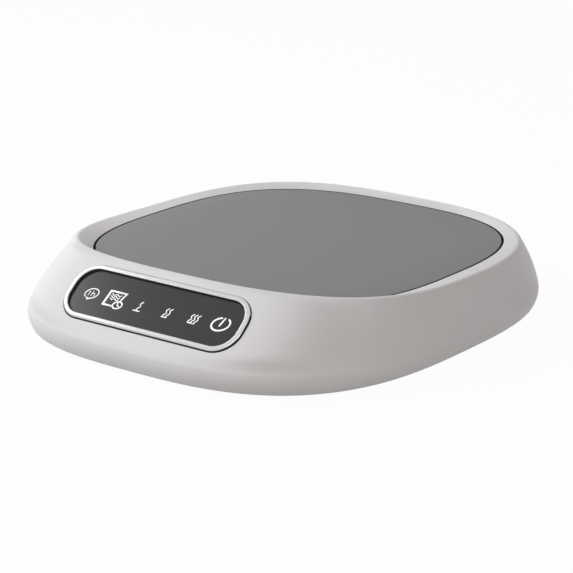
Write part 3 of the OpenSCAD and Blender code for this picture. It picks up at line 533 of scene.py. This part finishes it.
bake_boolean(housing, [
    ("UNION", tool(seat_and_bosses)), ("UNION", tool(ribs_and_posts)),
    ("DIFFERENCE", tool(pocket_and_holes)), ("DIFFERENCE", tool(window_and_holes)),
])
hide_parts("upper_housing")


def paint(o, mat, test):
    """A second material on the faces that the test picks; here it is used for painted shade."""
    o.data.materials.append(mat)
    last = len(o.data.materials) - 1
    for f in o.data.polygons:
        if test(f.center / MM, f.normal):
            f.material_index = last


def from_plate(p):
    """The half width of the plate-shaped outline that runs through p."""
    n = PLATE_N
    return (abs(p.x) ** n + abs(p.y - PLATE_BACK) ** n) ** (1 / n)


# painted shade: the wall of the gap round the plate is painted black for the shade in that narrow
# gap, as is the plate's side
paint(housing, M["black_plastic"],
      lambda p, n: p.z < PLATE_TOP - 0.04 and abs(n.z) < 0.5 and abs(from_plate(p) - LIP_R) < 0.1)

# ---------------------------------------------------------------- heating plate
bm = bmesh.new()
ROUND = 0.14  # of the plate's upper edge
rows = [(PLATE_R - ROUND + ROUND * math.sin(a), PLATE_TOP - ROUND + ROUND * math.cos(a))
        for a in (math.pi / 2 * i / 6 for i in range(7))]
rings = []
for r, z in [(PLATE_R, PLATE_TOP - PLATE_T)] + list(reversed(rows)):
    rings.append([Vector((x, y, z)) for x, y in outline(r)])
vs = grid(bm, rings, close_rows=False)
cap(bm, vs[0], True)
inner = vs[-1]
for r in (0.8, 0.6, 0.4, 0.2):
    ring = [bm.verts.new(Vector((x, y, PLATE_TOP)) * MM) for x, y in outline((PLATE_R - ROUND) * r)]
    for i in range(PLATE_STEPS):
        j = (i + 1) % PLATE_STEPS
        bm.faces.new((inner[i], inner[j], ring[j], ring[i]))
    inner = ring
cap(bm, inner)
bmesh.ops.recalc_face_normals(bm, faces=bm.faces)
plate = new_object("warming_plate", bm, "plate", M["plate_grey"])
# painted shade: the plate's side is painted black for the shade in the gap round it
paint(plate, M["black_plastic"], lambda p, n: abs(n.z) < 0.3)
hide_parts("heating_plate")

# ---------------------------------------------------------------- bezel and glass
bm = bmesh.new()
# section of the ring: (distance in from its outer edge, height over the panel plane)
TOP_R, IN_R = 0.45, 0.12  # rounds of its outer and inner upper edge
BORE, LEDGE = BEZEL_W - 0.06, BEZEL_W + 1.0  # its bore, and the ledge under the glass
prof = [(0, -SEAT_DEEP)]
prof += [(TOP_R - TOP_R * math.cos(a), BEZEL_PROUD - TOP_R + TOP_R * math.sin(a))
         for a in (math.pi / 2 * i / 8 for i in range(9))]
prof += [(BORE - IN_R + IN_R * math.sin(a), BEZEL_PROUD - IN_R + IN_R * math.cos(a))
         for a in (math.pi / 2 * i / 4 for i in range(5))]
prof += [(BORE, -GLASS_DEEP - GLASS_T), (LEDGE, -GLASS_DEEP - GLASS_T), (LEDGE, -SEAT_DEEP)]
rings = []
for inset, h in prof:
    rings.append([on_panel(x, y, h) for x, y in round_rect(BEZEL_HALF, BEZEL_R, 24, -inset)])
grid(bm, rings)
bmesh.ops.recalc_face_normals(bm, faces=bm.faces)
bezel = new_object("bezel_ring", bm, "base", M["bezel_chrome"], 60)


def painted_shade_sides(p, n):
    """The ring's sides under its round top, which get painted shade, but not the outer one at its
    upper edge.
    """
    s = (p - PANEL_AT).dot(UP)
    return n.dot(OUT) < 0.3 and not (s > 0 and n.dot(UP) > 0.4)


# painted shade: the ring's sides are painted black, except the outer side at its upper edge
paint(bezel, M["black_plastic"], painted_shade_sides)
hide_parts("panel_bezel")

# the gasket stands round the glass, a little over its face
bm = bmesh.new()
half = (GLASS_W / 2, GLASS_H / 2)
prof = [(-GASKET_T, -GLASS_DEEP - GLASS_T), (0, -GLASS_DEEP - GLASS_T), (0, FACE),
        (-0.03, FACE + 0.03), (-GASKET_T, FACE + 0.03)]
grid(bm, [[on_panel(x, y, h) for x, y in round_rect(half, GLASS_R, 24, -inset)]
          for inset, h in prof])
bmesh.ops.recalc_face_normals(bm, faces=bm.faces)
gasket = new_object("glass_gasket", bm, "base", M["rubber_black"])
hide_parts("panel_gasket")

bm = bmesh.new()
levels = [(0.0, -GLASS_DEEP - GLASS_T), (0.0, FACE - 0.06), (0.02, FACE - 0.02), (0.07, FACE)]
rings = [[on_panel(x, y, h) for x, y in round_rect(half, GLASS_R, 24, -inset)]
         for inset, h in levels]
vs = grid(bm, rings, close_rows=False)
cap(bm, vs[0], True)
cap(bm, vs[-1])
bmesh.ops.recalc_face_normals(bm, faces=bm.faces)
glass = new_object("touch_glass", bm, "base", M["panel_dark"], 10)
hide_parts("panel_glass")

# ---------------------------------------------------------------- springs and leads under the plate
for name, node, foot in (("carrier_springs", "plate_springs", 0.005),
                         ("heater_wires", "heater_leads", 0.0059),
                         ("sensor_wires", "sensor_leads", 0.0059)):
    bm = bmesh.new()
    bm.from_mesh(nodes[node].data)
    o = new_object(name, bm, "base", M[slots[node]])
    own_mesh(o)
    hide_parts(node)

# ---------------------------------------------------------------- printed signs
SKEW = 0.26
# all signs together are moved by this, and their print goes from under the face to over it
SIGNS_X, SIGNS_S, PRINT_LOW, PRINT_HIGH = 0.2, -0.14, -0.01, 0.02


def on_face(x, s, h):
    return on_panel(x + SIGNS_X, s + SIGNS_S, FACE + h)


def stroke(bm, pts, width, closed=False, ends=True):
    """A flat line of even width on the glass, round at its ends."""
    n = len(pts)
    left, right = [], []
    for i, p in enumerate(pts):
        a = pts[(i - 1) % n] if closed or i else p
        b = pts[(i + 1) % n] if closed or i < n - 1 else p
        d = Vector((b[0] - a[0], b[1] - a[1])).normalized()
        nrm = Vector((-d.y, d.x)) * width / 2
        left.append((p[0] + nrm.x, p[1] + nrm.y))
        right.append((p[0] - nrm.x, p[1] - nrm.y))
    sides = [[bm.verts.new(on_face(x, y, h) * MM) for x, y in side]
             for side, h in ((left, PRINT_LOW), (left, PRINT_HIGH),
                             (right, PRINT_HIGH), (right, PRINT_LOW))]
    for i in range(n if closed else n - 1):
        j = (i + 1) % n
        for k in range(4):
            bm.faces.new((sides[k][i], sides[k][j], sides[(k + 1) % 4][j], sides[(k + 1) % 4][i]))
    if not closed:
        bm.faces.new([s[0] for s in sides])
        bm.faces.new([s[-1] for s in reversed(sides)])
        for p in (pts[0], pts[-1]) if ends else ():
            dot(bm, p, width / 2)


def dot(bm, p, r):
    prism(bm, [(p[0] + r * math.cos(a), p[1] + r * math.sin(a)) for a in
               (2 * math.pi * i / 16 for i in range(16))], on_face, PRINT_LOW, PRINT_HIGH)


def arc(c, a, b, a0, a1, steps=40, skew=SKEW):
    """Part of a leaning ellipse with half axes a and b."""
    pts = []
    for i in range(steps + 1):
        t = math.radians(a0 + (a1 - a0) * i / steps)
        pts.append((c[0] + a * math.cos(t) + skew * b * math.sin(t), c[1] + b * math.sin(t)))
    return pts


def curve(knots, steps=8):
    """Smooth line through the knots."""
    pts = []
    k = [knots[0]] + list(knots) + [knots[-1]]
    for p0, p1, p2, p3 in zip(k, k[1:], k[2:], k[3:]):
        for i in range(steps):
            t = i / steps
            pts.append(tuple(
                0.5 * (2 * b + (c - a) * t + (2 * a - 5 * b + 4 * c - d) * t * t
                       + (3 * b - a - 3 * c + d) * t ** 3)
                for a, b, c, d in zip(p0, p1, p2, p3)
            ))
    return pts + [tuple(knots[-1])]


def sign(name, draw):
    b = bmesh.new()
    draw(b)
    bmesh.ops.recalc_face_normals(b, faces=b.faces)
    return new_object(name, b, "base", M["sign_white"], 0)


M["sign_white"] = material("sign_white", (0.92, 0.92, 0.92), 0.45, vary=0.02, scale=800)
print_bsdf = M["sign_white"].node_tree.nodes["Principled BSDF"]
print_bsdf.inputs["Emission Color"].default_value = (1, 1, 1, 1)
print_bsdf.inputs["Emission Strength"].default_value = 0.35


def hour(b):
    c = (-21.46, -0.15)
    stroke(b, arc(c, 2.03, 1.55, -108, 232, 56), 0.3)
    stroke(b, [(c[0] - 0.95, c[1] - 1.35), (c[0] - 0.48, c[1] - 1.95),
               (c[0] + 0.1, c[1] - 1.5)], 0.3)
    stroke(b, [(c[0] - 1.0, c[1] + 0.4), (c[0] - 0.72, c[1] + 0.66),
               (c[0] - 0.88, c[1] - 0.7)], 0.2)
    stroke(b, [(c[0] + 0.2, c[1] + 0.82), (c[0] + 0.02, c[1] - 0.74)], 0.2)
    stroke(b, curve([(c[0] + 0.08, c[1] - 0.12), (c[0] + 0.6, c[1] + 0.2), (c[0] + 1.0, c[1]),
                     (c[0] + 0.94, c[1] - 0.74)]), 0.2)


def schedule(b):
    left = (-16.35, -16.0)
    stroke(b, [(left[0], -2.28), (left[1], 1.96)], 0.68, ends=False)
    stroke(b, [(left[1] - 0.3, 1.98), (-10.45, 1.98)], 0.5, ends=False)
    stroke(b, [(left[0] - 0.34, -2.28), (-13.35, -2.28)], 0.5, ends=False)
    stroke(b, [(-10.72, 2.2), (-11.6, -0.42)], 0.46, ends=False)
    for i in range(3):
        y = 1.06 - 0.68 * i
        x0, x1 = -15.25 + 0.03 * i, -12.05 - 0.2 * i
        stroke(b, [(x0 + (x1 - x0) * v, y + 0.24 * math.cos(3.6 * math.pi * v + 0.2)) for v in
                   (k / 24 for k in range(25))], 0.25)
    c = (-11.78, -1.7)
    stroke(b, arc(c, 1.42, 1.05, 0, 360, 40, 0.2)[:-1], 0.4, closed=True)
    stroke(b, [(c[0] - 0.16, c[1] + 0.62), (c[0] - 0.06, c[1] - 0.02),
               (c[0] + 0.66, c[1] - 0.3)], 0.34)


def wave(b, x, y=0.0):
    """A rising wave whose foot is at (x, y - 1.7)."""
    knots = ((0, -1.7), (0.05, -1.16), (0.6, -0.54), (0.3, 0.22), (0.88, 0.86))
    stroke(b, curve([(x + u, y + v) for u, v in knots]), 0.3)


def low(b):
    wave(b, -5.35)
    stroke(b, [(-6.25, -1.92), (-4.3, -1.92)], 0.34)


def mid(b):
    wave(b, 3.28)
    wave(b, 4.38)
    stroke(b, [(2.95, -1.78), (4.6, -1.78)], 0.3)


def high(b):
    for x in (11.36, 12.4, 13.42):
        wave(b, x, 0.1)
    stroke(b, [(11.3, -1.6), (13.35, -1.66)], 0.28)


def power(b):
    stroke(b, arc((21.08, 0.04), 2.52, 1.95, 115, 422, 64, 0.27), 0.5)
    stroke(b, [(21.52, 1.86), (20.93, -0.45)], 0.48)


for name, draw in (("sign_hour", hour), ("sign_schedule", schedule), ("sign_low", low),
                   ("sign_middle", mid), ("sign_high", high), ("sign_power", power)):
    sign(name, draw)

# ---------------------------------------------------------------- floor, light, camera
FLOOR_HALF = 3.0  # metres
bm = bmesh.new()
bm.faces.new([bm.verts.new((x * FLOOR_HALF, y * FLOOR_HALF, 0))
              for x, y in ((-1, -1), (1, -1), (1, 1), (-1, 1))])


def background_rays(nt):
    """1 for the rays that show the background: from the camera, a mirror or glass."""
    path = nt.nodes.new("ShaderNodeLightPath")
    out = path.outputs["Is Camera Ray"]
    for kind in ("Is Glossy Ray", "Is Transmission Ray"):
        most = nt.nodes.new("ShaderNodeMath")
        most.operation = "MAXIMUM"
        nt.links.new(out, most.inputs[0])
        nt.links.new(path.outputs[kind], most.inputs[1])
        out = most.outputs[0]
    return out


floor_mat = bpy.data.materials.new("floor_white")
floor_mat.use_nodes = True
nt = floor_mat.node_tree
fb = nt.nodes["Principled BSDF"]
fb.inputs["Base Color"].default_value = (0.5, 0.5, 0.5, 1)
fb.inputs["Roughness"].default_value = 0.9
fb.inputs["Specular IOR Level"].default_value = 0.0
# the camera sees the floor as white paper that still takes a part of the shadow
white = nt.nodes.new("ShaderNodeEmission")
white.inputs["Strength"].default_value = 1.0
veil = nt.nodes.new("ShaderNodeMixShader")
paper = nt.nodes.new("ShaderNodeBsdfDiffuse")
paper.inputs["Color"].default_value = (0.9, 0.9, 0.9, 1)
veil.inputs["Fac"].default_value = 0.035
nt.links.new(white.outputs["Emission"], veil.inputs[1])
nt.links.new(paper.outputs["BSDF"], veil.inputs[2])
seen = nt.nodes.new("ShaderNodeMixShader")
nt.links.new(background_rays(nt), seen.inputs["Fac"])
nt.links.new(fb.outputs["BSDF"], seen.inputs[1])
nt.links.new(veil.outputs["Shader"], seen.inputs[2])
nt.links.new(seen.outputs["Shader"], nt.nodes["Material Output"].inputs["Surface"])
floor = new_object("floor", bm, None, floor_mat, 0)

world = bpy.data.worlds.new("studio")
bpy.context.scene.world = world
world.use_nodes = True
wt = world.node_tree
bg = wt.nodes["Background"]
wm = wt.nodes.new("ShaderNodeMix")
wm.data_type = "RGBA"
wm.inputs["A"].default_value = (0.217, 0.198, 0.195, 1)
wm.inputs["B"].default_value = (1, 1, 1, 1)
wt.links.new(background_rays(wt), wm.inputs["Factor"])
wt.links.new(wm.outputs["Result"], bg.inputs["Color"])


AIM = Vector((0, 0, 0.015))


def area(name, at, size, energy, color):
    data = bpy.data.lights.new(name, "AREA")
    data.shape = "RECTANGLE"
    data.size = data.size_y = size
    data.energy = energy
    data.color = color
    o = bpy.data.objects.new(name, data)
    o.location = at
    o.rotation_mode = "QUATERNION"
    o.rotation_quaternion = (AIM - Vector(at)).to_track_quat("-Z", "Y")
    bpy.context.scene.collection.objects.link(o)
    return o


for name, at, size, energy, color in (
    ("key", (-0.4813, -0.4011, 0.4974), 0.6, 4.75, (0.98, 1, 1)),
    ("gleam", (-0.291, -0.118, 0.262), 0.06, 0.05, (1, 1, 1)),
    ("left_fill", (-0.343, 0.0404, 0.2018), 0.28, 0.16, (0.98, 1, 1)),
    ("low_fill", (0.5045, -0.6103, 0.1139), 0.4, 0.79, (1, 0.92, 0.88)),
    ("right_fill", (0.7872, -0.0829, 0.116), 0.4, 1.13, (1, 0.96, 0.95)),
):
    lamp = area(name, at, size, energy, color)
    # the key lamp's mirror image would clip the ring and the glass to white
    lamp.visible_glossy = name != "key"

# the picture's camera: turn and height in degrees, distance and offsets of its aim in
# millimetres, focal length and frame in pixels, and its sensor's width in millimetres
AZ, EL, DIST, OX, OY, F_PX = 37.30, 17.34, 586.04, -3.60, -12.46, 2145.2
FRAME_PX, SENSOR = 573, 36.0
a, e = math.radians(AZ), math.radians(EL)
back = Vector((math.sin(a) * math.cos(e), -math.cos(a) * math.cos(e), math.sin(e)))
right = Vector((math.cos(a), math.sin(a), 0))
up = right.cross(-back)
target = Vector((0, PLATE_BACK, PLATE_TOP)) + right * OX + up * OY
cam_data = bpy.data.cameras.new("camera")
cam_data.sensor_width = SENSOR
cam_data.lens = F_PX / FRAME_PX * SENSOR
cam_data.clip_start, cam_data.clip_end = 0.01, 20
cam = bpy.data.objects.new("camera", cam_data)
cam.matrix_world = Matrix.Translation((target + back * DIST) * MM) @ Matrix(
    (right, up, back)
).transposed().to_4x4()
bpy.context.scene.collection.objects.link(cam)
bpy.context.scene.camera = cam
bpy.context.scene.view_settings.view_transform = "Standard"
